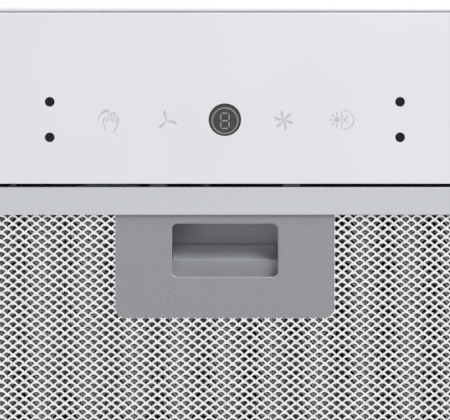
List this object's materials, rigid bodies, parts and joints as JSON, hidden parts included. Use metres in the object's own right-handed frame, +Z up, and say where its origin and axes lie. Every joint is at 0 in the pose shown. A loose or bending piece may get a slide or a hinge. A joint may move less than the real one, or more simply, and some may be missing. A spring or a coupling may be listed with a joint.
{
  "type": "range hood insert",
  "caption": "Built-in range hood insert with touch fascia, hinged latch-held mesh grease filter, lamps, centrifugal blower and round duct collar with back-draught flaps.",
  "frame": {"origin": "middle of the underside's bounding box, on the underside", "axes": "+X to the right seen from the front, +Y to the rear, +Z up towards the duct"},
  "size_m": [0.52, 0.292, 0.231],
  "materials": {
    "white_coat": "satin white powder coat",
    "white_glass": "white back-printed glass",
    "dark_window": "dark tinted window",
    "display_block": "dark display block",
    "circuit_board": "green solder mask",
    "spring_steel": "bright spring steel",
    "black_cap": "black moulded plastic",
    "white_plastic": "white moulded plastic",
    "frosted_cover": "frosted lamp cover",
    "cast_aluminium": "cast heat sink",
    "satin_aluminium": "satin anodised aluminium",
    "mesh_aluminium": "expanded aluminium mesh",
    "grey_plastic": "fine-textured grey plastic",
    "galvanised_steel": "galvanised sheet",
    "zinc_screw": "zinc-plated",
    "grey_moulding": "grey polypropylene",
    "guard_wire": "plated wire",
    "motor_can": "dark painted can",
    "shaft_steel": "ground steel",
    "black_rubber": "soft rubber",
    "capacitor_can": "drawn can"
  },
  "bodies": {
    "casing": {"bottom_tray": "white_coat", "glass_fascia": "white_glass", "display_lens": "dark_window", "sensor_lenses": "dark_window", "sensor_boards": "circuit_board", "display_module": "display_block", "touch_board": "circuit_board", "touch_springs": "spring_steel", "touch_housing": "black_cap", "casing_top_left": "galvanised_steel", "casing_top_right": "galvanised_steel", "casing_front": "galvanised_steel", "casing_rear": "galvanised_steel", "casing_side_left": "galvanised_steel", "casing_side_right": "galvanised_steel", "casing_screws": "zinc_screw", "cabinet_clips": "spring_steel", "clip_screws": "zinc_screw", "scroll_housing": "grey_moulding", "inlet_ring": "grey_moulding", "inlet_guard": "guard_wire", "motor": "motor_can", "motor_bracket": "galvanised_steel", "rubber_mounts": "black_rubber", "motor_screws": "zinc_screw", "outlet_collar": "black_cap", "collar_screws": "zinc_screw", "flap_pin": "shaft_steel", "cable_gland": "black_cap", "gland_nut": "black_cap", "control_box": "white_plastic", "control_lid": "white_plastic", "control_board": "circuit_board", "capacitor": "capacitor_can", "lamp_bezel_left": "white_plastic", "lamp_bezel_right": "white_plastic", "lamp_lens_left": "frosted_cover", "lamp_lens_right": "frosted_cover", "lamp_board_left": "circuit_board", "lamp_board_right": "circuit_board", "lamp_heatsink_left": "cast_aluminium", "lamp_heatsink_right": "cast_aluminium"},
    "filter": {"filter_frame": "satin_aluminium", "filter_tongues": "satin_aluminium", "mesh_front": "mesh_aluminium", "mesh_core": "mesh_aluminium", "mesh_back": "mesh_aluminium", "handle_plate": "grey_plastic", "handle_back": "grey_plastic", "handle_screws": "zinc_screw", "latch_springs": "spring_steel"},
    "latch": {"latch_slide": "grey_plastic"},
    "fan": {"impeller_rings": "galvanised_steel", "impeller_blades": "galvanised_steel", "impeller_hub": "galvanised_steel", "motor_shaft": "shaft_steel", "hub_nut": "zinc_screw"},
    "flap_left": {"flap_left": "grey_moulding"},
    "flap_right": {"flap_right": "grey_moulding"}
  },
  "joints": [
    {"name": "filter_hinge", "type": "hinge", "parent": "casing", "child": "filter", "pos_m": [0, 0.1305, 0.0032], "axis": [1, 0, 0], "range_deg": [0, 60]},
    {"name": "latch_slide", "type": "slide", "parent": "filter", "child": "latch", "axis": [0, 1, 0], "range_m": [0, 0.006], "stiffness_N_per_m": 600, "springref_m": -0.004, "deforming": ["latch_springs"]},
    {"name": "fan_spin", "type": "hinge", "parent": "casing", "child": "fan", "pos_m": [-0.062, 0, 0.13], "axis": [0, 0, 1], "continuous": true},
    {"name": "flap_left_hinge", "type": "hinge", "parent": "casing", "child": "flap_left", "pos_m": [0.144, 0, 0.199], "axis": [0, 1, 0], "range_deg": [0, 80]},
    {"name": "flap_right_hinge", "type": "hinge", "parent": "casing", "child": "flap_right", "pos_m": [0.144, 0, 0.199], "axis": [0, -1, 0], "range_deg": [0, 80]}
  ]
}
